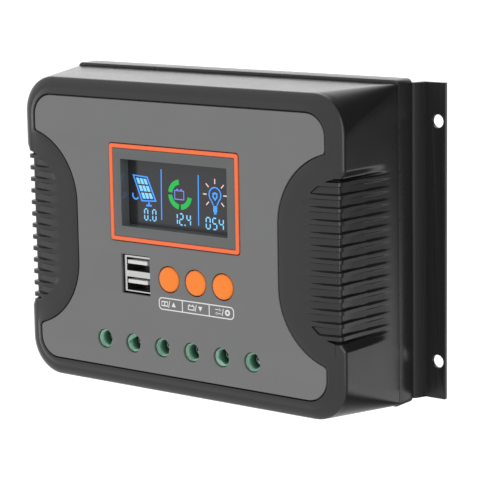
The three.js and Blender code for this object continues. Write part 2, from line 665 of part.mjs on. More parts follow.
function addElectronics() {
  addPiece('display_board', 'board', displayBoard())
  addPiece('main_board', 'board', mainBoard())
  addPiece('board_link', 'black', box(-LINK.x, LINK.x,
    DISPLAY_BOARD.back + GAP, MAIN_BOARD.front - GAP, LINK.low, LINK.high))
  addPiece('thermal_pad', 'pad', box(-THERMAL_PAD.x, THERMAL_PAD.x,
    SINK.front - GAP - THERMAL_PAD.thick, SINK.front - GAP, THERMAL_PAD.low, THERMAL_PAD.high))
  for (let index = 0; index < TRANSISTOR.count; index += 1) {
    const x = fromCentre(index, TRANSISTOR.count) * TRANSISTOR.pitch
    addPiece(`transistor_${index + 1}`, 'black', transistor(x))
  }
  addPiece('capacitor_1', 'black', capacitor(-CAPACITOR.x))
  addPiece('capacitor_2', 'black', capacitor(CAPACITOR.x))
  addPiece('blade_fuse', 'orange', bladeFuse())
  cornersOf(STANDOFF).forEach(([x, z], index) => {
    addPiece(`standoff_${index + 1}`, 'brass', standoff(x, z))
  })
}

addHousing()
addDisplay()
addButtons()
addUsb()
addTerminals()
addElectronics()

export default group
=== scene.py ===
"""Looks for a wall-mounted solar charge controller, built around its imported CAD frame.

Lengths inside this script are millimetres in the CAD's own frame: X is the width, the front
faces -Y, Z is up, and the origin is the centre of the wall plane. Meshes are scaled to metres.
"""
import math

import bmesh
import bpy
from mathutils import Matrix, Vector


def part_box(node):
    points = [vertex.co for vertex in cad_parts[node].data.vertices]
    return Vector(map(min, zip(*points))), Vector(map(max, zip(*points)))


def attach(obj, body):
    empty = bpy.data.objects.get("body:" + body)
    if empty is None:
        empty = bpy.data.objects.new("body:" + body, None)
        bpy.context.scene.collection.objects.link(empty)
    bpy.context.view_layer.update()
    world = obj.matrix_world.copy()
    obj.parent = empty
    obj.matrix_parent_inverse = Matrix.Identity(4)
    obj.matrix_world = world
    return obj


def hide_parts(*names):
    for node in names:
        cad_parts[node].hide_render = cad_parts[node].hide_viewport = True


MM = 0.001

# ---- camera, at the photograph's viewing angle ----
CAMERA_PLACE = (527.71, -692.57, 149.98)
CAMERA_TURN = -37.77        # degrees: it stands on the right and looks left
CAMERA_TILT = 10.23         # degrees, looking down
CAMERA_ROLL = -1.005        # degrees
CAMERA_LENS = 153.7         # the lens and sensor are in millimetres
CAMERA_SENSOR = 36
CAMERA_REACH = (0.01, 100)  # nearest and farthest, in metres

# ---- the moulded cover ----
PANEL_Y = -55.8             # front of the grey panel
RIM_Y = -52.2               # where the cover's rounded front edge ends
SEAM_Y = -17.0              # where the cover meets the black frame
FACE_FRONT = -53.9          # front and back of the wall behind the grey panel
FACE_BACK = -51.7
FACE_BEVEL = 0.05
FACE_SLACK = 0.4            # room round the parts that come through that wall
PANEL = {"x": 75.7, "z": 57.0, "centre": 0.4, "radius": 9.0, "thick": 1.6}
WAIST = {"x": 52.7, "radius": 31.0, "straight": 12.4, "centre": -0.2}
PANEL_BEVEL = 0.35
PANEL_GAP = 0.4
LIP = [(0, 0.65), (0.25, 0.25), (0.8, 0.12)]    # the cover's lip: outwards and back
LIP_WIDTH = 1.2
LIP_Y = PANEL_Y + 0.12
SHOULDER = {"x": 79.0, "z": 60.5, "radius": 12.3, "y": -54.6,
            "roll": 0.55, "roll_x": 74, "roll_width": 5}
RIM = {"x": 83.5, "z": 65.0, "radius": 15.5}
SEAM = {"x": 84.6, "z": 65.5, "centre": 0.6, "radius": 1.6, "bevel": 0.2}
# The rounded front edge as (x, y), then Y of the rows along the sides
CORNER = [(80.2, -54.45), (81.3, -54.05), (82.2, -53.5), (82.95, -52.95),
          (83.35, -52.45), (83.5, -51.9), (83.5, -51.2)]
SIDE_ROWS = [-50, -48, -46, -44, -42, -40, -38, -36, -34, -32, -30, -28, -26.5, -25,
             -22, -18, -17.2]
SIDE_END = 42.0             # height where the straight sides of the skin's rows end
INSIDE = {"x": 77.4, "front": -48.5, "back": -29, "edge": 2.5, "edge_front": -24}
SCOOP = {"offset": 10.4, "arc_end": 0.975, "ramp_out": 35.8, "ramp_in": 32.8, "crest": 1.3,
         "front": -46, "back": -25.5}
RIB = {"count": 13, "pitch": 5.07, "half": 1.0, "slope": 0.45, "height": 1.75, "fade_x": 63.0,
       "end_notch": 0.4, "end_rise": 1.0}
# Rows beside a rib's middle, in millimetres, then columns as shares of the front's two parts
RIB_ROWS = (0, 0.5, 0.75, 0.87, 1.0, 1.13, 1.25, 1.7)
FRONT_ROWS = (0.3, 0.6, 0.85, 1.0)
SCOOP_ROWS = (0, 0.08, 0.2, 0.35, 0.5, 0.65, 0.8, 0.9, 1.0)
SCOOP_WALL = 0.35
WIRE_SLOT = {"x": 48.5, "front": -42.0, "back": -27.8, "z": -62.0}

# ---- the display ----
TRIM = {"x": 33.9, "z": 20.4, "centre": 18.8, "line": 1.8, "radius": 1.3, "inside": 0.4,
        "proud": 0.45, "bevel": 0.55, "slack": 0.3}
TRIM_BACK = FACE_FRONT - 0.3
BEZEL = {"gap": 0.12, "proud": 0.05, "bevel": 0.12}
WINDOW = {"x": 28.0, "z": 14.1, "radius": 0.4}
SKIRT = {"wall": 1.8, "radius": 1.4, "room": 0.4, "bevel": 0.02}
PRINT = 0.06                # thickness of printed and lit marks
DIGIT = {"height": 4.6, "line": 0.55, "point": 0.6}
STROKE = 0.5                # width of most lit strokes

# ---- buttons, socket and terminals ----
BUTTON = {"radius": 5.3, "z": -15.7, "side": 1.4, "flange": 6.4, "flange_thick": 1.0,
          "stem": 2.1}
BUTTON_DOME = [(1.6, 0.03), (3, 0.14), (4.1, 0.36), (4.75, 0.62), (5.12, 0.95)]
SOCKET = {"recess": 0.8, "left_lip": 0.65, "right_shift": 0.4, "rise": 0.3, "room": 0.4}
LABEL = {"left": -8.8, "right": 30.65, "low": -28.7, "high": -23.4, "line": 0.45,
         "radius": 1.9, "sign": 2.4}
COLLAR = {"radius": 3.85, "room": 0.25}
# fade: millimetres below the collars' rims where the painted shade in the wells begins and where
# it is full
WELL = {"radius": 3.1, "sunk": 1.7, "forward": 0.6, "funnel": 0.5, "fade": (0.3, 2.6)}

# ---- stage, in metres ----
FLOOR = {"size": 60, "z": -0.32, "glow": 0.35}
STRIP = {"place": (0.78, -0.6, 0.15), "width": 0.12, "height": 0.8, "power": 1.2}
STUDIO = {
    "bright": 1.0, "dark": 0.04, "front_floor": 0.95, "back_floor": 1.5, "glow": 1.32,
    "side_floor": 0.1, "behind_edge": (0.78, 0.92),
    "dark_side": (0.66, 0.74, 0.1), "dark_edge": (0.15, 0.8), "floor_edge": (-0.13, -0.25),
    "glow_side": (-0.5, 0.85, 0.16), "glow_edge": (0.6, 0.9),
}


# ---- materials ----
COAT_ROUGHNESS = 0.08
NOISE_RANGE = (0.3, 0.7)    # where nearly all of a noise's values are
GRAIN_SIZE = 4200           # features per metre
GRAIN_DEPTH = 0.00004       # metres
BRUSH_SIZE = 900
BRUSH_DEPTH = 0.00003


def new_material(name, color, roughness, metallic=0.0, coat=0.0, ior=1.5):
    """A material and its Principled shader."""
    material = bpy.data.materials.new(name)
    material.use_nodes = True
    nodes = material.node_tree.nodes
    shader = nodes["Principled BSDF"]
    shader.inputs["Base Color"].default_value = (*color, 1)
    shader.inputs["Roughness"].default_value = roughness
    shader.inputs["Metallic"].default_value = metallic
    shader.inputs["Coat Weight"].default_value = coat
    shader.inputs["Coat Roughness"].default_value = COAT_ROUGHNESS
    shader.inputs["IOR"].default_value = ior
    return material, shader


def object_coordinates(material, stretch=(1, 1, 1)):
    """Object coordinates, stretched along each axis."""
    nodes = material.node_tree.nodes
    links = material.node_tree.links
    where = nodes.new("ShaderNodeTexCoord")
    mapping = nodes.new("ShaderNodeMapping")
    mapping.inputs["Scale"].default_value = stretch
    links.new(where.outputs["Object"], mapping.inputs["Vector"])
    return mapping.outputs["Vector"]


def noise(material, vector, scale, detail=3.0):
    """A noise texture's factor. scale is in features per metre."""
    texture = material.node_tree.nodes.new("ShaderNodeTexNoise")
    texture.inputs["Scale"].default_value = scale
    texture.inputs["Detail"].default_value = detail
    material.node_tree.links.new(vector, texture.inputs["Vector"])
    return texture.outputs["Fac"]


def remapped(material, value, low, high):
    """A noise's value spread over low to high."""
    node = material.node_tree.nodes.new("ShaderNodeMapRange")
    node.inputs["From Min"].default_value = NOISE_RANGE[0]
    node.inputs["From Max"].default_value = NOISE_RANGE[1]
    node.inputs["To Min"].default_value = low
    node.inputs["To Max"].default_value = high
    material.node_tree.links.new(value, node.inputs["Value"])
    return node.outputs["Result"]


def tint(material, shader, factor, dark, light):
    """The base colour runs from dark to light with factor."""
    mix = material.node_tree.nodes.new("ShaderNodeMix")
    mix.data_type = "RGBA"
    mix.inputs["A"].default_value = (*dark, 1)
    mix.inputs["B"].default_value = (*light, 1)
    links = material.node_tree.links
    links.new(factor, mix.inputs["Factor"])
    links.new(mix.outputs["Result"], shader.inputs["Base Color"])


def bump(material, shader, height, strength, distance):
    """Fine relief. distance is in metres."""
    node = material.node_tree.nodes.new("ShaderNodeBump")
    node.inputs["Strength"].default_value = strength
    node.inputs["Distance"].default_value = distance
    links = material.node_tree.links
    links.new(height, node.inputs["Height"])
    links.new(node.outputs["Normal"], shader.inputs["Normal"])


def moulded(name, color, roughness, grain=0.25, spread=0.05, coat=0.0, ior=1.5):
    """Moulded plastic: a fine spark-eroded grain, faint mottling and uneven gloss."""
    material, shader = new_material(name, color, roughness, coat=coat, ior=ior)
    vector = object_coordinates(material)
    cloud = noise(material, vector, 60, 4)
    darker = tuple(c * (1 - spread) for c in color)
    lighter = tuple(c * (1 + spread) for c in color)
    tint(material, shader, remapped(material, cloud, 0, 1), darker, lighter)
    gloss = remapped(material, cloud, roughness * 0.93, roughness * 1.07)
    material.node_tree.links.new(gloss, shader.inputs["Roughness"])
    bump(material, shader, noise(material, vector, GRAIN_SIZE, 2), grain, GRAIN_DEPTH)
    return material


def plastic_with_painted_well_shade(name, rim, depth, roughness):
    """Moulded plastic with painted shade: from rim at the collars' rims it darkens to depth down
    in the wells.
    """
    material = moulded(name, rim, roughness, 0.15)
    nodes = material.node_tree.nodes
    links = material.node_tree.links
    split = nodes.new("ShaderNodeSeparateXYZ")
    links.new(object_coordinates(material), split.inputs["Vector"])
    # The painted shade: the colour darkens with depth below the collars' rims.
    fade = nodes.new("ShaderNodeMapRange")
    start, end = WELL["fade"]
    fade.inputs["From Min"].default_value = (PANEL_Y + WELL["sunk"] + start) * MM
    fade.inputs["From Max"].default_value = (PANEL_Y + WELL["sunk"] + end) * MM
    links.new(split.outputs["Y"], fade.inputs["Value"])
    tint(material, nodes["Principled BSDF"], fade.outputs["Result"], rim, depth)
    return material


def brushed(name, color, roughness, stretch, metallic=1.0, grain=0.2, specular=0.5):
    """Drawn or brushed metal: long fine lines along one axis."""
    material, shader = new_material(name, color, roughness, metallic)
    shader.inputs["Specular IOR Level"].default_value = specular
    vector = object_coordinates(material, stretch)
    lines = noise(material, vector, BRUSH_SIZE, 3)
    gloss = remapped(material, lines, roughness * 0.8, roughness * 1.25)
    material.node_tree.links.new(gloss, shader.inputs["Roughness"])
    bump(material, shader, lines, grain, BRUSH_DEPTH)
    return material


def circuit_board():
    """Green solder mask with paler areas where copper lies under it."""
    material, shader = new_material("solder_mask", (0.012, 0.1, 0.035), 0.3, coat=0.4)
    vector = object_coordinates(material, (1, 0.05, 1))
    cells = material.node_tree.nodes.new("ShaderNodeTexVoronoi")
    cells.distance = "CHEBYCHEV"
    cells.inputs["Scale"].default_value = 220
    links = material.node_tree.links
    links.new(vector, cells.inputs["Vector"])
    tint(material, shader, cells.outputs["Color"], (0.008, 0.075, 0.025), (0.02, 0.15, 0.06))
    bump(material, shader, cells.outputs["Distance"], 0.3, 0.00005)
    return material


def lit(name, color):
    """A glowing mark on the display."""
    material, shader = new_material(name, tuple(c * 0.3 for c in color), 0.35)
    shader.inputs["Emission Color"].default_value = (*color, 1)
    shader.inputs["Emission Strength"].default_value = 1.0
    return material


def make_materials():
    """Every material by name."""
    return {
        "cover": moulded("charcoal_cover", (0.0175, 0.0173, 0.018), 0.21, 0.25),
        "panel": moulded("grey_panel", (0.162, 0.163, 0.165), 0.4, 0.3, 0.02),
        "frame": moulded("black_frame", (0.026, 0.026, 0.0265), 0.28, 0.25),
        "orange": moulded("orange_plastic", (0.98, 0.232, 0.012), 0.36, 0.1, 0.02),
        "trim": moulded("trim_plastic", (0.96, 0.16, 0.04), 0.3, 0.05, 0.02, 0.2),
        "bezel": moulded("grey_bezel", (0.105, 0.112, 0.112), 0.2, 0.1, 0.03, 0.3),
        "black": moulded("black_plastic", (0.02, 0.02, 0.021), 0.45, 0.3),
        "white": moulded("white_plastic", (0.72, 0.72, 0.7), 0.4, 0.15, 0.03),
        # The collars' own green at their rims, and a darker painted shade deep in the wells
        "green": plastic_with_painted_well_shade("green_nylon_with_painted_well_shade", (0.27, 0.52, 0.39), (0.06, 0.19, 0.12), 0.3),
        # Near-black painted shade for the socket shell's deep inner faces
        "shade": moulded("socket_painted_shade", (0.012, 0.011, 0.012), 0.35, 0.1),
        "sleeve": moulded("capacitor_sleeve", (0.02, 0.03, 0.08), 0.3, 0.1, coat=0.3),
        "fuse": moulded("fuse_body", (0.75, 0.2, 0.03), 0.25, 0.1, coat=0.3),
        "pad": moulded("silicone_pad", (0.3, 0.36, 0.43), 0.8, 0.6, 0.06),
        "lamp": moulded("frosted_lamp", (0.75, 0.76, 0.74), 0.6, 0.2, 0.02),
        "glass": moulded("display_glass", (0.022, 0.023, 0.027), 0.2, 0.0, 0.03, 0.2),
        "sink": brushed("black_anodised", (0.0165, 0.0165, 0.0175), 0.28, (1, 1, 0.03), 0.0,
                        specular=0.4),
        "steel": brushed("zinc_steel", (0.6, 0.6, 0.58), 0.3, (1, 0.1, 1)),
        "screw": brushed("clamp_screw_steel", (0.4, 0.4, 0.39), 0.25, (1, 0.1, 1)),
        "nickel": brushed("nickel_shell", (0.62, 0.62, 0.61), 0.22, (0.05, 0.05, 1)),
        "brass": brushed("tinned_brass", (0.62, 0.48, 0.2), 0.28, (1, 0.05, 1)),
        "board": circuit_board(),
        "print": moulded("white_print", (0.8, 0.8, 0.8), 0.5, 0.1, 0.02),
        "blue": lit("lit_blue", (0.05, 0.3, 0.95)),
        "pale": lit("lit_pale_blue", (0.2, 0.6, 1.0)),
        "lime": lit("lit_green", (0.0, 0.4, 0.055)),
        "violet": lit("lit_violet", (0.16, 0.22, 0.75)),
        "rose": lit("lit_rose", (0.75, 0.5, 0.5)),
    }


# ---- mesh helpers ----
def finish_mesh(name, mesh, material, sharp=32):
    """A piece from a mesh in millimetres: metres, smooth shading and a material."""
    mesh.transform(Matrix.Diagonal((MM, MM, MM, 1)))
    mesh.shade_smooth()
    mesh.set_sharp_from_angle(angle=math.radians(sharp))
    mesh.materials.clear()
    mesh.materials.append(material)
    piece = bpy.data.objects.new(name, mesh)
    bpy.context.scene.collection.objects.link(piece)
    return piece


def settle(piece, body, slot, *nodes):
    """Rides on a body and stands for CAD nodes, which it hides. slot is not used."""
    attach(piece, body)
    if nodes:
        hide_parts(*nodes)
    return piece


def mesh_from(name, vertices, faces):
    """A mesh from its points and faces."""
    mesh = bpy.data.meshes.new(name)
    mesh.from_pydata(vertices, [], faces)
    mesh.validate()
    return mesh


def applied(piece):
    """The piece, with its modifiers applied to its mesh."""
    graph = bpy.context.evaluated_depsgraph_get()
    mesh = bpy.data.meshes.new_from_object(piece.evaluated_get(graph))
    piece.modifiers.clear()
    piece.data = mesh
    return piece


def outward(mesh):
    """The mesh with its doubled points merged and its faces turned outwards."""
    work = bmesh.new()
    work.from_mesh(mesh)
    bmesh.ops.remove_doubles(work, verts=work.verts, dist=1e-4)
    bmesh.ops.recalc_face_normals(work, faces=work.faces)
    work.to_mesh(mesh)
    work.free()
    return mesh


def lathe(name, x, z, profile, material, sides=48):
    """A turned piece about the Y axis through (x, z), from (radius, y) points."""
    vertices = []
    rings = []
    for radius, y in profile:
        if radius == 0:
            rings.append([len(vertices)] * sides)
            vertices.append((x, y, z))
            continue
        start = len(vertices)
        rings.append(list(range(start, start + sides)))
        for index in range(sides):
            angle = 2 * math.pi * index / sides
            vertices.append((x + radius * math.cos(angle), y, z + radius * math.sin(angle)))
    faces = []
    for near, far in zip(rings, rings[1:]):
        for index in range(sides):
            after = (index + 1) % sides
            corners = [near[index], near[after], far[after], far[index]]
            unique = list(dict.fromkeys(corners))
            if len(unique) > 2:
                faces.append(unique)
    mesh = outward(mesh_from(name, vertices, faces))
    return finish_mesh(name, mesh, material)


def rounded_outline(half_x, half_z, radius, centre=(0, 0), segments=8):
    """Points of a rounded rectangle in X and Z, anticlockwise."""
    points = []
    for corner, (side_x, side_z) in enumerate([(1, -1), (1, 1), (-1, 1), (-1, -1)]):
        for step in range(segments + 1):
            angle = (corner - 1 + step / segments) * math.pi / 2
            points.append((
                centre[0] + side_x * (half_x - radius) + radius * math.cos(angle),
                centre[1] + side_z * (half_z - radius) + radius * math.sin(angle),
            ))
    return points


def circle(x, z, radius, segments=40):
    """Points of a circle in X and Z."""
    return [(x + radius * math.cos(2 * math.pi * i / segments),
             z + radius * math.sin(2 * math.pi * i / segments)) for i in range(segments)]


def plate(name, outline, holes, front, back, bevel, material, rounds=2):
    """A flat plate with holes and bevelled edges, between two Y planes."""
    curve = bpy.data.curves.new(name, "CURVE")
    curve.dimensions = "2D"
    curve.fill_mode = "BOTH"
    curve.extrude = (back - front) / 2 - bevel
    curve.bevel_depth = bevel
    curve.offset = -bevel
    curve.bevel_resolution = rounds
    for points in [outline] + [hole[::-1] for hole in holes]:
        spline = curve.splines.new("POLY")
        spline.points.add(len(points) - 1)
        for point, (x, z) in zip(spline.points, points):
            point.co = (x, z, 0, 1)
        spline.use_cyclic_u = True
    flat = bpy.data.objects.new(name + "_curve", curve)
    bpy.context.scene.collection.objects.link(flat)
    graph = bpy.context.evaluated_depsgraph_get()
    mesh = bpy.data.meshes.new_from_object(flat.evaluated_get(graph))
    bpy.data.objects.remove(flat)
    place = Matrix.Translation((0, (front + back) / 2, 0)) @ Matrix.Rotation(math.pi / 2, 4, "X")
    mesh.transform(place)
    return finish_mesh(name, outward(mesh), material, 40)


def refined(node, material, bevel=0.25, segments=2, name=None, reshape=None):
    """A copy of a CAD node's mesh with its edges rounded, standing for that node."""
    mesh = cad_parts[node].data.copy()
    mesh.transform(Matrix.Diagonal((1 / MM, 1 / MM, 1 / MM, 1)))
    work = bmesh.new()
    work.from_mesh(mesh)
    bmesh.ops.remove_doubles(work, verts=work.verts, dist=0.001)
    bmesh.ops.dissolve_limit(
        work, angle_limit=math.radians(1), verts=work.verts, edges=work.edges)
    if reshape:
        for vertex in work.verts:
            reshape(vertex.co)
    work.to_mesh(mesh)
    work.free()
    piece_name = name or node + "_fine"
    piece = bpy.data.objects.new(piece_name, mesh)
    bpy.context.scene.collection.objects.link(piece)
    rounder = piece.modifiers.new("edges", "BEVEL")
    rounder.width = bevel
    rounder.segments = segments
    rounder.limit_method = "ANGLE"
    rounder.angle_limit = math.radians(35)
    rounder.use_clamp_overlap = True
    mesh = applied(piece).data
    bpy.data.objects.remove(piece)
    return finish_mesh(piece_name, mesh, material, 30)


# ---- the cover's skin ----
def smooth(value):
    """An S-shaped step from 0 to 1, for values from 0 to 1."""
    value = min(max(value, 0), 1)
    return value * value * (3 - 2 * value)


def between(first, second, share):
    """The number at a share of the way from first to second."""
    return first + (second - first) * share


def waist_x(z, grow=0.0):
    """X of the panel's edge at a height on its straight sides and waist."""
    rise = max(abs(z - WAIST["centre"]) - WAIST["straight"], 0)
    radius = WAIST["radius"] - grow
    centre = WAIST["x"] + WAIST["radius"]
    if rise >= radius:
        return PANEL["x"] + grow
    return min(centre - math.sqrt(radius ** 2 - rise ** 2), PANEL["x"] + grow)


def arc_x(z):
    """X of the line where the side scoop begins on the front face."""
    radius = WAIST["radius"] - SCOOP["offset"]
    rise = max(abs(z - WAIST["centre"]) - WAIST["straight"], 0)
    rise = min(rise, radius * SCOOP["arc_end"])
    return WAIST["x"] + WAIST["radius"] - math.sqrt(radius ** 2 - rise ** 2)


def scoop_amount(z):
    """1 inside the scoop's length, 0 outside it, with a slope at each end."""
    height = abs(z - WAIST["centre"])
    return smooth((SCOOP["ramp_out"] - height) / (SCOOP["ramp_out"] - SCOOP["ramp_in"]))


def rib_amount(z):
    """1 on the crest of a rib, 0 on the floor between ribs, back to 1 past the last notch."""
    reach = (RIB["count"] - 1) / 2 * RIB["pitch"]
    first = WAIST["centre"] + reach
    index = round((first - z) / RIB["pitch"])
    index = min(max(index, 0), RIB["count"] - 1)
    away = abs(z - (first - index * RIB["pitch"]))
    rib = smooth((RIB["half"] - away) / RIB["slope"] + 0.5)
    if abs(z - WAIST["centre"]) < reach:
        return rib
    return max(rib, smooth((away - RIB["half"] - RIB["end_notch"]) / RIB["end_rise"]))


def side_heights():
    """Heights of the skin's rows on a side, close together at the ribs' edges."""
    first = WAIST["centre"] + (RIB["count"] - 1) / 2 * RIB["pitch"]
    heights = []
    for index in range(RIB["count"]):
        middle = first - index * RIB["pitch"]
        for away in RIB_ROWS:
            heights += [middle + away, middle - away]
    ramp = [SCOOP["ramp_in"] + step * 0.35 for step in range(-4, 14)]
    heights += [WAIST["centre"] + side * height for height in ramp for side in (-1, 1)]
    for step in range(5):
        heights += [SIDE_END - step, -SIDE_END + step]
    return sorted({round(height, 3) for height in heights if abs(height) <= SIDE_END})


def side_profile(z):
    """The skin at one height of the right side, from the panel's recess to the seam."""
    amount = scoop_amount(z)
    floor = 1 - rib_amount(z)
    start = arc_x(z)
    lip = waist_x(z, PANEL_GAP)
    points = [(lip, FACE_FRONT)] + [(lip + out, PANEL_Y + back) for out, back in LIP]
    begin = lip + LIP_WIDTH
    rest = SHOULDER["y"] - SHOULDER["roll"] - LIP_Y

    def front_y(x):
        """Y of the cover's front, which falls away towards the shoulder."""
        along = max(x - begin, 0) / (SHOULDER["x"] - begin)
        roll = SHOULDER["roll"] * smooth((x - SHOULDER["roll_x"]) / SHOULDER["roll_width"])
        return LIP_Y + rest * along ** 2 + roll

    for share in FRONT_ROWS:
        x = between(begin, start, share)
        points.append((x, front_y(x)))
    for share in SCOOP_ROWS:
        x = between(start + SCOOP_WALL, SHOULDER["x"], share)
        depth = RIB["height"] * smooth((x - RIB["fade_x"]) / (SHOULDER["x"] - 1 - RIB["fade_x"]))
        points.append((x, front_y(x) + depth * amount * floor))
    turns = len(CORNER) + 1
    for step, (x, y) in enumerate(CORNER):
        share = (step + 1) / turns
        crest = SCOOP["crest"] * smooth(share * 1.4)
        depth = RIB["height"] * floor
        points.append((x - amount * (crest + depth * math.sin(share * math.pi / 2)),
                       y + amount * depth * math.cos(share * math.pi / 2)))
    for y in SIDE_ROWS:
        x = between(RIM["x"], SEAM["x"], (y - RIM_Y) / (SEAM_Y - RIM_Y))
        fade = min(max((SCOOP["back"] - y) / (SCOOP["back"] - SCOOP["front"]), 0), 1)
        points.append((x - amount * fade * (SCOOP["crest"] + RIB["height"] * floor), y))
    edge = SEAM["x"] - INSIDE["edge"]
    inner = INSIDE["x"]
    points += [(SEAM["x"] - SEAM["bevel"], SEAM_Y), (edge, SEAM_Y), (edge, INSIDE["edge_front"]),
               (inner, INSIDE["back"]), (inner, INSIDE["front"]),
               (min(inner, start + 12), FACE_BACK + 1.4), (lip + 1.5, FACE_BACK)]
    return [(x, y, z) for x, y in points]


def quarter_outline(half_x, half_z, radius, centre, start, counts=(4, 14, 14)):
    """A rounded rectangle's upper right quarter, from (half_x, start) to the top's middle."""
    straight, turn, top = counts
    points = []
    low = centre + half_z - radius
    for step in range(1, straight + 1):
        points.append((half_x, start + (low - start) * step / straight))
    for step in range(1, turn + 1):
        angle = step / turn * math.pi / 2
        points.append((half_x - radius + radius * math.cos(angle),
                       low + radius * math.sin(angle)))
    for step in range(1, top + 1):
        points.append(((half_x - radius) * (1 - step / top), centre + half_z))
    return points


def corner_profiles(upper):
    """The skin's profiles from the end of a side, round the corner, to the middle."""
    sign = 1 if upper else -1
    start = SIDE_END

    def ring(half_x, half_z, radius, y, centre=0.0):
        """Points round this corner, in the plane at y."""
        outline = quarter_outline(half_x, half_z, radius, centre * sign, start)
        return [(x, y, z * sign) for x, z in outline]

    def grown(amount, y):
        """Points round the panel's corner, grown by some millimetres."""
        return ring(PANEL["x"] + amount, PANEL["z"] + amount, PANEL["radius"] + amount, y,
                    PANEL["centre"])

    lip = PANEL_GAP
    rings = [grown(lip, FACE_FRONT)]
    rings += [grown(lip + out, PANEL_Y + back) for out, back in LIP]
    inner = grown(lip + LIP_WIDTH, 0)
    shoulder = ring(SHOULDER["x"], SHOULDER["z"], SHOULDER["radius"], 0)
    reference = side_profile(sign * start)
    begin = waist_x(sign * start, PANEL_GAP) + LIP_WIDTH
    for column in range(len(rings), len(rings) + len(FRONT_ROWS) + len(SCOOP_ROWS)):
        x, y, _ = reference[column]
        share = (x - begin) / (SHOULDER["x"] - begin)
        rings.append([(between(a[0], b[0], share), y, between(a[2], b[2], share))
                      for a, b in zip(inner, shoulder)])
    slope = (RIM["z"] - SHOULDER["z"]) / (RIM["x"] - SHOULDER["x"])
    bend = (RIM["radius"] - SHOULDER["radius"]) / (RIM["x"] - SHOULDER["x"])
    for x, y in CORNER:
        out = x - SHOULDER["x"]
        rings.append(ring(x, SHOULDER["z"] + slope * out, SHOULDER["radius"] + bend * out, y))
    for y in SIDE_ROWS:
        share = (y - RIM_Y) / (SEAM_Y - RIM_Y)
        half_x, half_z, radius = (between(RIM[key], SEAM[key], share)
                                  for key in ("x", "z", "radius"))
        rings.append(ring(half_x, half_z, radius, y, SEAM["centre"] * share))
    middle = SEAM["centre"]
    bevel = SEAM["bevel"]
    edge = INSIDE["edge"]
    deep = INSIDE["x"]
    rings += [
        ring(SEAM["x"] - bevel, SEAM["z"] - bevel, SEAM["radius"] - bevel, SEAM_Y, middle),
        ring(SEAM["x"] - edge, SEAM["z"] - edge, 2, SEAM_Y, middle),
        ring(SEAM["x"] - edge, SEAM["z"] - edge, 2, INSIDE["edge_front"], middle),
        ring(deep, 61, 8, INSIDE["back"]), ring(deep, 60, 9, INSIDE["front"]),
        ring(deep, 59.5, 9, FACE_BACK + 1.4), grown(lip + 1.5, FACE_BACK)]
    return [[ring_points[i] for ring_points in rings] for i in range(len(rings[0]))]


def cover_skin():
    """The ribbed shell between the panel's recess and the seam, as one closed mesh."""
    right = [side_profile(z) for z in side_heights()]
    top = corner_profiles(True)
    bottom = corner_profiles(False)
    mirror = [[(-x, y, z) for x, y, z in row] for row in right[::-1]]
    top_left = [[(-x, y, z) for x, y, z in row] for row in top[-2::-1]]
    bottom_left = [[(-x, y, z) for x, y, z in row] for row in bottom]
    rows = right + top + top_left + mirror + bottom_left + bottom[-2::-1]
    count = len(rows[0])
    vertices = [point for row in rows for point in row]
    faces = []
    for index in range(len(rows)):
        after = (index + 1) % len(rows)
        for step in range(count):
            following = (step + 1) % count
            faces.append((index * count + step, after * count + step,
                          after * count + following, index * count + following))
    return outward(mesh_from("cover_shell", vertices, faces))


def cut_box(piece, low, high):
    """Cuts a box, given in millimetres, out of a piece that is already in metres."""
    bpy.ops.mesh.primitive_cube_add(size=1)
    cutter = bpy.context.object
    middle = [(a + b) / 2 * MM for a, b in zip(low, high)]
    cutter.location = middle
    cutter.scale = [(b - a) * MM for a, b in zip(low, high)]
    cut = piece.modifiers.new("cut", "BOOLEAN")
    cut.operation = "DIFFERENCE"
    cut.solver = "EXACT"
    cut.object = cutter
    bpy.context.view_layer.update()
    applied(piece)
    bpy.data.objects.remove(cutter)


def control_holes(slack):
    """Outlines of the holes for the socket, the buttons and the terminals."""
    low, high = millimetres("usb_shell")
    room = SOCKET["room"] + slack
    socket = rounded_outline((high.x - low.x) / 2 + room, (high.z - low.z) / 2 + room, 0.4,
                             ((high.x + low.x) / 2, (high.z + low.z) / 2), 3)
    holes = [socket]
    holes += [circle(x, BUTTON["z"], BUTTON["radius"] + slack) for x in button_places()]
    holes += [circle(x, z, COLLAR["radius"] + COLLAR["room"]) for x, z in terminal_places()]
    return holes


def panel_outline(grow):
    """The waisted outline of the grey panel, grown by some millimetres."""
    half_x = PANEL["x"] + grow
    half_z = PANEL["z"] + grow
    radius = PANEL["radius"] + grow
    low = PANEL["centre"] - half_z + radius
    high = PANEL["centre"] + half_z - radius

    def corner(middle, start, steps=12):
        """A quarter circle about a height, from an angle in quarter turns."""
        angles = [(start + step / steps) * math.pi / 2 for step in range(steps + 1)]
        return [(half_x - radius + radius * math.cos(angle), middle + radius * math.sin(angle))
                for angle in angles]

    rows = 90
    heights = [low + (high - low) * row / rows for row in range(1, rows)]
    right = corner(low, -1) + [(waist_x(z, grow), z) for z in heights] + corner(high, 0)
    return right + [(-x, z) for x, z in right[::-1]]


def build_cover(materials):
    """The cover: its ribbed skin, cut for the wires, and the wall behind the panel."""
    shell = finish_mesh("cover_shell", cover_skin(), materials["cover"], 38)
    cut_box(shell, (-WIRE_SLOT["x"], WIRE_SLOT["front"], -80),
            (WIRE_SLOT["x"], WIRE_SLOT["back"], WIRE_SLOT["z"] + 0.4))
    settle(shell, "housing", "cover", "front_cover")
    around = SKIRT["wall"] + SKIRT["room"]
    window = rounded_outline(WINDOW["x"] + around, WINDOW["z"] + around, 1.5,
                             (0, TRIM["centre"]))
    holes = [window] + control_holes(FACE_SLACK)
    face = plate("cover_face", panel_outline(PANEL_GAP - 0.02), holes,
                 FACE_FRONT, FACE_BACK, FACE_BEVEL, materials["cover"], 0)
    settle(face, "housing", "cover", "front_cover")


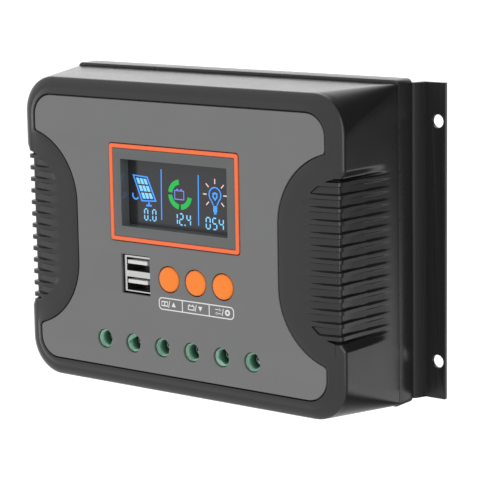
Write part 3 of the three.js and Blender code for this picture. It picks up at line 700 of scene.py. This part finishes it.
def build_panel(materials):
    """The waisted grey panel, with holes for the display, socket, buttons and terminals."""
    slack = TRIM["slack"]
    trim = rounded_outline(TRIM["x"] + slack, TRIM["z"] + slack, TRIM["radius"] + slack,
                           (0, TRIM["centre"]))
    panel = plate("grey_panel", panel_outline(0), [trim] + control_holes(PANEL_BEVEL),
                  PANEL_Y, PANEL_Y + PANEL["thick"], PANEL_BEVEL, materials["panel"], 3)
    settle(panel, "housing", "panel", "front_panel")


# ---- places from the CAD ----
def millimetres(node):
    """The lowest and highest corner of a CAD node's box."""
    low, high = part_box(node)
    return Vector(low) / MM, Vector(high) / MM


def middle_of(node):
    low, high = millimetres(node)
    return (low + high) / 2


def button_places():
    return [middle_of(f"button_{index}_cap").x for index in (1, 2, 3)]


def terminal_places():
    middles = [middle_of(f"terminal_screw_{index}") for index in range(1, 7)]
    return [(middle.x, middle.z) for middle in middles]


# ---- display ----
def build_display(materials):
    """The orange trim, and the grey bezel with the walls of its deep window."""
    centre = (0, TRIM["centre"])
    inner_x = TRIM["x"] - TRIM["line"]
    inner_z = TRIM["z"] - TRIM["line"]
    inner_radius = TRIM["inside"]
    outer = rounded_outline(TRIM["x"], TRIM["z"], TRIM["radius"], centre, 10)
    inner = rounded_outline(inner_x, inner_z, inner_radius, centre, 10)
    bead = plate("display_bead", outer, [inner], PANEL_Y - TRIM["proud"], TRIM_BACK,
                 TRIM["bevel"], materials["trim"], 5)
    settle(bead, "housing", "orange", "display_trim")
    gap = BEZEL["gap"]
    edge = rounded_outline(inner_x - gap, inner_z - gap, inner_radius, centre, 10)
    window = rounded_outline(WINDOW["x"], WINDOW["z"], WINDOW["radius"], centre, 5)
    face = plate("bezel_face", edge, [window], PANEL_Y - BEZEL["proud"], TRIM_BACK,
                 BEZEL["bevel"], materials["bezel"])
    settle(face, "housing", "bezel", "display_bezel")
    wall = SKIRT["wall"]
    skirt = rounded_outline(WINDOW["x"] + wall, WINDOW["z"] + wall, SKIRT["radius"], centre, 5)
    glass_front = millimetres("lcd_glass")[0].y
    tube = plate("bezel_skirt", skirt, [window], TRIM_BACK - 0.05, glass_front - 0.2,
                 SKIRT["bevel"], materials["bezel"], 0)
    settle(tube, "housing", "bezel", "display_bezel")


def mark(name, outline, holes, material):
    """A flat lit mark just in front of the display's glass."""
    front = millimetres("lcd_glass")[0].y - PRINT
    shift = TRIM["centre"]
    moved = [(x, z + shift) for x, z in outline]
    cuts = [[(x, z + shift) for x, z in hole] for hole in holes]
    piece = plate(name, moved, cuts, front, front + PRINT - 0.01, 0.0, material, 0)
    settle(piece, "housing", "display_glass")
    return piece


def bar(x0, z0, x1, z1, width):
    """The outline of a straight stroke."""
    length = math.hypot(x1 - x0, z1 - z0)
    x = (z0 - z1) / length * width / 2
    z = (x1 - x0) / length * width / 2
    return [(x0 - x, z0 - z), (x1 - x, z1 - z), (x1 + x, z1 + z), (x0 + x, z0 + z)]


def arc_band(x, z, inner, outer, start, end, steps=14):
    """The outline of a part of a ring, between two angles in degrees."""
    angles = [math.radians(start + (end - start) * i / steps) for i in range(steps + 1)]
    rim = [(x + outer * math.cos(a), z + outer * math.sin(a)) for a in angles]
    return rim + [(x + inner * math.cos(a), z + inner * math.sin(a)) for a in angles[::-1]]


SEGMENTS = {"0": "abcdef", "1": "bc", "2": "abged", "4": "fgbc", "5": "afgcd"}


def digit_strokes(sign, x, z, width, height, line):
    """Strokes of a seven-segment sign whose lower left corner is at (x, z)."""
    gap = line * 0.55
    middle = z + height / 2
    top = z + height
    right = x + width
    strokes = {
        "a": (x + gap, top, right - gap, top), "g": (x + gap, middle, right - gap, middle),
        "d": (x + gap, z, right - gap, z),
        "f": (x, middle + gap, x, top - gap), "e": (x, z + gap, x, middle - gap),
        "b": (right, middle + gap, right, top - gap), "c": (right, z + gap, right, middle - gap),
    }
    return [bar(*strokes[part], line) for part in SEGMENTS[sign]]


def joined_marks(name, outlines, material):
    """Several strokes as one piece."""
    pieces = [mark(f"{name}_{index}", outline, [], material)
              for index, outline in enumerate(outlines)]
    work = bmesh.new()
    for piece in pieces:
        work.from_mesh(piece.data)
    mesh = bpy.data.meshes.new(name)
    work.to_mesh(mesh)
    work.free()
    for piece in pieces:
        bpy.data.objects.remove(piece)
    mesh.materials.append(material)
    joined = bpy.data.objects.new(name, mesh)
    bpy.context.scene.collection.objects.link(joined)
    settle(joined, "housing", "display_glass")


def number_marks(name, signs, z, width, materials):
    """A reading in seven-segment digits, from (sign, x) pairs. A point is a small square."""
    strokes = []
    for sign, x in signs:
        if sign == ".":
            point = DIGIT["point"]
            strokes.append(bar(x, z - point / 2, x, z + point / 2, point))
        else:
            strokes += digit_strokes(sign, x, z, width, DIGIT["height"], DIGIT["line"])
    joined_marks(name, strokes, materials["pale"])


def solar_marks(materials):
    """A tilted solar panel with nine cells, on a stand, with a part of a sun."""
    corners = [(-25.9, 7.1), (-17.7, 6.7), (-13.1, -3.5), (-21.3, -4.0)]

    def inside(u, v):
        """The point at a share of the tilted panel's width and height."""
        low = [between(corners[3][i], corners[2][i], u) for i in (0, 1)]
        high = [between(corners[0][i], corners[1][i], u) for i in (0, 1)]
        return tuple(between(a, b, v) for a, b in zip(low, high))

    hole = [inside(0.09, 0.05), inside(0.91, 0.05), inside(0.91, 0.95), inside(0.09, 0.95)]
    mark("panel_edge_mark", corners[::-1], [hole], materials["blue"])
    cells = []
    for column in range(3):
        for row in range(3):
            u = 0.17 + column * 0.24
            v = 0.11 + row * 0.28
            cells.append([inside(u, v), inside(u + 0.18, v), inside(u + 0.18, v + 0.22),
                          inside(u, v + 0.22)])
    joined_marks("panel_cell_marks", cells, materials["pale"])
    foot = [bar(-17.3, -4.1, -17.3, -5.2, 0.8), bar(-18.8, -5.5, -15.8, -5.4, 0.7)]
    joined_marks("panel_stand_mark", foot, materials["blue"])
    sun = arc_band(-24.4, -1.6, 1.25, 1.95, 150, 330)
    mark("sun_mark", sun, [], materials["blue"])


def battery_marks(materials):
    """A battery inside a ring of three parts."""
    for index, (start, end) in enumerate([(96, 172), (184, 262), (274, 350)]):
        mark(f"charge_ring_{index + 1}", arc_band(-0.5, 0.5, 4.1, 6.25, start, end), [],
             materials["lime"])
    case = rounded_outline(2.6, 2.0, 0.3, (-0.9, 0.3), 3)
    hole = rounded_outline(2.2, 1.6, 0.1, (-0.9, 0.3), 2)
    mark("battery_mark", case, [hole], materials["violet"])
    poles = [bar(x, 2.6, x + 0.9, 2.6, STROKE) for x in (-2.4, -0.3)]
    joined_marks("battery_pole_marks", poles, materials["violet"])


def lamp_marks(materials):
    """A glowing bulb with a core, a base and seven rays."""
    x = 17.8
    z = 1.9
    glass = arc_band(x, z, 2.75, 3.3, -50, 230, 26)
    mark("lamp_mark", glass, [], materials["blue"])
    neck = [bar(15.9, -0.5, 16.9, -2.4, STROKE), bar(19.7, -0.5, 18.7, -2.4, STROKE),
            bar(x, -2.6, x, -5.2, 2.0), bar(x, -5.2, x, -6.1, 1.2)]
    joined_marks("lamp_base_marks", neck, materials["blue"])
    core = 1.4
    shield = [(16.5, 2.6), (16.5, 0.9), (x, -0.6), (19.1, 0.9), (19.1, 2.6), (x, 3.1)]
    hollow = [((x + a) / 2, (core + b) / 2) for a, b in shield]
    mark("lamp_core_mark", shield[::-1], [hollow[::-1]], materials["blue"])
    rays = []
    for angle in (-42, 0, 42, 90, 138, 180, 222):
        across = math.cos(math.radians(angle))
        up = math.sin(math.radians(angle))
        rays.append(bar(x + 4.3 * across, z + 4.5 * up, x + 6.2 * across, z + 6.6 * up, STROKE))
    joined_marks("lamp_ray_marks", rays, materials["rose"])


def build_display_marks(materials):
    """Three pictures with a reading under each, and the two dividers."""
    solar_marks(materials)
    battery_marks(materials)
    lamp_marks(materials)
    dividers = [bar(-10.3, 10.3, -10.6, -10.9, STROKE), bar(9.3, 9.4, 9.0, -11.5, STROKE)]
    joined_marks("divider_marks", dividers, materials["blue"])
    number_marks("left_reading", [("0", -19.8), (".", -16.75), ("0", -15.4)], -11.6, 1.75,
                 materials)
    number_marks("middle_reading", [("1", -4.05), ("2", -1.0), (".", 1.8), ("4", 2.9)], -12.0,
                 1.85, materials)
    number_marks("right_reading", [("0", 13.0), ("5", 16.4), ("4", 19.8)], -12.3, 2.05,
                 materials)


# ---- buttons ----
def build_buttons(materials):
    """Domed push buttons, each with a flange behind the cover and a stem."""
    radius = BUTTON["radius"]
    flange = FACE_BACK + 0.5
    flange_back = flange + BUTTON["flange_thick"]
    for index, x in enumerate(button_places(), 1):
        low, high = millimetres(f"button_{index}_cap")
        profile = [(0, low.y)] + [(out, low.y + back) for out, back in BUTTON_DOME]
        profile += [(radius, low.y + BUTTON["side"]), (radius, flange),
                    (BUTTON["flange"], flange), (BUTTON["flange"], flange_back),
                    (BUTTON["stem"], flange_back), (BUTTON["stem"], high.y), (0, high.y)]
        cap = lathe(f"button_{index}_dome", x, BUTTON["z"], profile, materials["orange"], 56)
        settle(cap, f"button_{index}", "orange", f"button_{index}_cap")


def field_signs(place, x, z):
    """Plain signs in one field: a small picture, a slash, and an arrow or a ring."""
    left = x - LABEL["sign"]
    right = x + LABEL["sign"]
    slash = (bar(x - 0.35, z - 1.5, x + 0.35, z + 1.5, 0.35), [])
    if place == 0:
        sun_panel = rounded_outline(1.7, 1.1, 0.1, (left, z), 2)
        cells = [rounded_outline(0.6, 0.65, 0.05, (left + side * 0.85, z), 2) for side in (-1, 1)]
        arrow = [(right - 1.1, z - 0.9), (right + 1.1, z - 0.9), (right, z + 1.1)]
        return [(sun_panel, cells), slash, (arrow, [])]
    if place == 1:
        case = rounded_outline(1.7, 1.0, 0.15, (left, z - 0.15), 2)
        hollow = rounded_outline(1.3, 0.6, 0.05, (left, z - 0.15), 2)
        poles = [(bar(left + side - 0.3, z + 1.1, left + side + 0.3, z + 1.1, 0.4), [])
                 for side in (-0.9, 0.9)]
        arrow = [(right, z - 1.1), (right + 1.1, z + 0.9), (right - 1.1, z + 0.9)]
        return [(case, [hollow])] + poles + [slash, (arrow, [])]
    sliders = [(bar(left - 1.6, z + step, left + 1.6, z + step, 0.3), []) for step in (-0.8, 0.8)]
    knobs = [(circle(left + side * 0.7, z + side * 0.8, 0.5, 16), []) for side in (-1, 1)]
    wheel = (circle(right, z, 1.3, 24), [circle(right, z, 0.55, 16)])
    return sliders + knobs + [slash, wheel]


def build_label(materials):
    """White print under the buttons: a rounded frame in three fields, with plain signs."""
    line = LABEL["line"]
    centre = ((LABEL["left"] + LABEL["right"]) / 2, (LABEL["low"] + LABEL["high"]) / 2)
    half_x = (LABEL["right"] - LABEL["left"]) / 2
    half_z = (LABEL["high"] - LABEL["low"]) / 2
    radius = LABEL["radius"]
    outer = rounded_outline(half_x, half_z, radius, centre)
    inner = rounded_outline(half_x - line, half_z - line, radius - line, centre)
    shapes = [(outer, [inner])]
    places = button_places()
    for left, right in zip(places, places[1:]):
        x = (left + right) / 2
        shapes.append((bar(x, LABEL["low"] + line, x, LABEL["high"] - line, line), []))
    z = centre[1]
    shapes += [sign for place, x in enumerate(places) for sign in field_signs(place, x, z)]
    for index, (outline, holes) in enumerate(shapes, 1):
        piece = plate(f"panel_print_{index}", outline, holes, PANEL_Y - PRINT, PANEL_Y + 0.02,
                      0.0, materials["print"], 0)
        settle(piece, "housing", "white_plastic")


# ---- USB socket ----
def build_usb(materials):
    """A stacked pair of sockets: bright shell with painted shade on its deep inner faces, and two
    light tongues.
    """
    low, high = millimetres("usb_shell")
    front = low.y + SOCKET["recess"]

    def sink_shell(point):
        """Sets the shell back, and thickens the rims that the photograph shows."""
        point.y = max(point.y, front)
        if low.x + 0.1 < point.x < low.x + 1:
            point.x += SOCKET["left_lip"]
        if point.x > high.x - 1:
            point.x += SOCKET["right_shift"]
        if point.z > high.z - 0.1:
            point.z += SOCKET["rise"]

    shell = refined("usb_shell", materials["nickel"], 0.15, 3, "usb_shell_fine", sink_shell)
    # Painted shade: the shell's faces deeper than its front take a near-black material, where the
    # nickel walls are only in shadow.
    shell.data.materials.append(materials["shade"])
    for face in shell.data.polygons:
        if face.center.y / MM > front + 0.5:
            face.material_index = 1
    settle(shell, "housing", "socket_steel", "usb_shell")
    tongues = refined("usb_insulator", materials["white"], 0.15, 2, "usb_tongues")
    settle(tongues, "housing", "white_plastic", "usb_insulator")


# ---- terminals ----
def build_terminals(materials):
    """Terminal blocks whose collars open in a funnel, and their clamp screws."""
    rim = PANEL_Y + WELL["sunk"]

    def open_funnel(point):
        """Moves the collars' outer rims forward and their inner rims back."""
        if point.y > rim + 0.1:
            return
        for x, z in terminal_places():
            away = math.hypot(point.x - x, point.z - z)
            if away < (COLLAR["radius"] + WELL["radius"]) / 2:
                point.y += WELL["funnel"]
            elif away < COLLAR["radius"] + 0.1:
                point.y -= WELL["forward"]

    for pair in (1, 2, 3):
        block = refined(f"terminal_block_{pair}", materials["green"], 0.12, 2, None, open_funnel)
        settle(block, "housing", "terminal_green", f"terminal_block_{pair}")
    for index in range(1, 7):
        screw = refined(f"terminal_screw_{index}", materials["screw"], 0.12, 2)
        settle(screw, f"clamp_screw_{index}", "screw_steel", f"terminal_screw_{index}")


# ---- rear ----
def build_rear(materials):
    """The black frame, and the heat sink with its ears."""
    front = millimetres("rear_frame")[0].y

    def meet_cover(point):
        """Draws the frame's front forward to the cover's seam."""
        if point.y < front + 0.1:
            point.y = SEAM_Y + 0.06

    skirt = refined("rear_frame", materials["frame"], 0.3, 3, None, meet_cover)
    settle(skirt, "housing", "frame", "rear_frame")
    sink = refined("heat_sink", materials["sink"], 0.25, 2)
    settle(sink, "housing", "heat_sink", "heat_sink")


def finish_inside(materials):
    """Materials for the CAD solids that are kept as they are."""
    kept = {
        "lcd_glass": "glass", "lcd_backlight": "lamp", "lcd_holder": "black",
        "display_board": "board", "main_board": "board", "board_link": "black",
        "thermal_pad": "pad", "blade_fuse": "fuse", "capacitor": "sleeve",
        "transistor": "black", "standoff": "brass", "case_screw": "steel",
        "terminal_cage": "brass", "terminal_contact": "brass",
        "plunger": "black", "switch": "black",
    }
    for node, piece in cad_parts.items():
        for part, material in kept.items():
            if part in node:
                piece.data.materials.clear()
                piece.data.materials.append(materials[material])


# ---- stage ----
def build_floor():
    """A wide pale floor below the object, seen by the camera only."""
    material, shader = new_material("pale_floor", (0.93, 0.93, 0.93), 0.9)
    vector = object_coordinates(material)
    tint(material, shader, noise(material, vector, 3), (0.92, 0.92, 0.92), (0.94, 0.94, 0.94))
    shader.inputs["Emission Color"].default_value = (1, 1, 1, 1)
    shader.inputs["Emission Strength"].default_value = FLOOR["glow"]
    bpy.ops.mesh.primitive_plane_add(size=FLOOR["size"], location=(0, 0, FLOOR["z"]))
    floor = bpy.context.object
    floor.name = "floor"
    floor.data.materials.append(material)
    floor.visible_diffuse = False
    floor.visible_glossy = False


def build_strip_light():
    """A tall narrow light that draws a soft line along the cover's right front corner."""
    data = bpy.data.lights.new("corner_strip", "AREA")
    data.shape = "RECTANGLE"
    data.size = STRIP["width"]
    data.size_y = STRIP["height"]
    data.energy = STRIP["power"]
    lamp = bpy.data.objects.new("corner_strip", data)
    bpy.context.scene.collection.objects.link(lamp)
    lamp.location = STRIP["place"]
    aim = -Vector(STRIP["place"])
    lamp.rotation_euler = aim.to_track_quat("-Z", "Y").to_euler()
    lamp.visible_camera = False


def build_studio():
    """A white studio, dark behind the object on its right, with a glow on its left.

    The floor under the dark side is dark too, but bright straight behind. The camera itself
    sees plain white.
    """
    world = bpy.data.worlds.new("studio")
    bpy.context.scene.world = world
    world.use_nodes = True
    nodes = world.node_tree.nodes
    links = world.node_tree.links

    def spread(value, low, high):
        """A smooth step from 0 to 1 as value goes from low to high."""
        node = nodes.new("ShaderNodeMapRange")
        node.interpolation_type = "SMOOTHSTEP"
        node.inputs["From Min"].default_value = low
        node.inputs["From Max"].default_value = high
        links.new(value, node.inputs["Value"])
        return node.outputs["Result"]

    def blend(factor, first, second):
        """first where factor is 0, second where it is 1. Both are numbers or outputs."""
        node = nodes.new("ShaderNodeMix")
        node.data_type = "FLOAT"
        links.new(factor, node.inputs["Factor"])
        for socket, value in (("A", first), ("B", second)):
            if isinstance(value, (int, float)):
                node.inputs[socket].default_value = value
            else:
                links.new(value, node.inputs[socket])
        return node.outputs["Result"]

    where = nodes.new("ShaderNodeTexCoord").outputs["Generated"]
    height = nodes.new("ShaderNodeSeparateXYZ")
    links.new(where, height.inputs["Vector"])

    def towards(direction):
        """How far each way of looking points in a direction."""
        node = nodes.new("ShaderNodeVectorMath")
        node.operation = "DOT_PRODUCT"
        node.inputs[1].default_value = direction
        links.new(where, node.inputs[0])
        return node.outputs["Value"]

    dark = spread(towards(STUDIO["dark_side"]), *STUDIO["dark_edge"])
    glow = spread(towards(STUDIO["glow_side"]), *STUDIO["glow_edge"])
    around = blend(glow, blend(dark, STUDIO["bright"], STUDIO["dark"]), STUDIO["glow"])
    behind = spread(towards(STUDIO["dark_side"]), *STUDIO["behind_edge"])
    back = blend(behind, STUDIO["side_floor"], STUDIO["back_floor"])
    floor = blend(dark, STUDIO["front_floor"], back)
    below = spread(height.outputs["Z"], *STUDIO["floor_edge"])
    strength = blend(below, around, floor)
    seen = nodes.new("ShaderNodeLightPath").outputs["Is Camera Ray"]
    links.new(blend(seen, strength, 1.0), nodes["Background"].inputs["Strength"])
    nodes["Background"].inputs["Color"].default_value = (1, 1, 1, 1)


def build_camera():
    """The camera, turned, tilted and rolled as in the photograph."""
    data = bpy.data.cameras.new("camera")
    data.lens = CAMERA_LENS
    data.sensor_width = CAMERA_SENSOR
    data.clip_start, data.clip_end = CAMERA_REACH
    camera = bpy.data.objects.new("camera", data)
    bpy.context.scene.collection.objects.link(camera)
    turn = Matrix.Rotation(math.radians(CAMERA_TURN), 3, "Z")
    tilt = Matrix.Rotation(math.radians(CAMERA_TILT), 3, "X")
    roll = Matrix.Rotation(math.radians(CAMERA_ROLL), 3, "Y")
    right, ahead, up = roll @ tilt @ turn
    place = Matrix((right, up, -ahead)).transposed().to_4x4()
    place.translation = Vector(CAMERA_PLACE) * MM
    camera.matrix_world = place
    bpy.context.scene.camera = camera


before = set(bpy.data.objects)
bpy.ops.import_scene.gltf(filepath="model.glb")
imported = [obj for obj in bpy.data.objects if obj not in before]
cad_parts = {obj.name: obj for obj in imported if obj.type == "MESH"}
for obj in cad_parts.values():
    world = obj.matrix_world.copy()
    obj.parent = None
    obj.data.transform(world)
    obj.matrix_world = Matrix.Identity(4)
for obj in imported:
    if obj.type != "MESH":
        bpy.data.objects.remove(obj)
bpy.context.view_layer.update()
bpy.context.scene.view_settings.view_transform = "Standard"
build_camera()
build_floor()
build_studio()
build_strip_light()
MATERIALS = make_materials()
build_cover(MATERIALS)
build_panel(MATERIALS)
build_display(MATERIALS)
build_display_marks(MATERIALS)
build_buttons(MATERIALS)
build_label(MATERIALS)
build_usb(MATERIALS)
build_terminals(MATERIALS)
build_rear(MATERIALS)
finish_inside(MATERIALS)
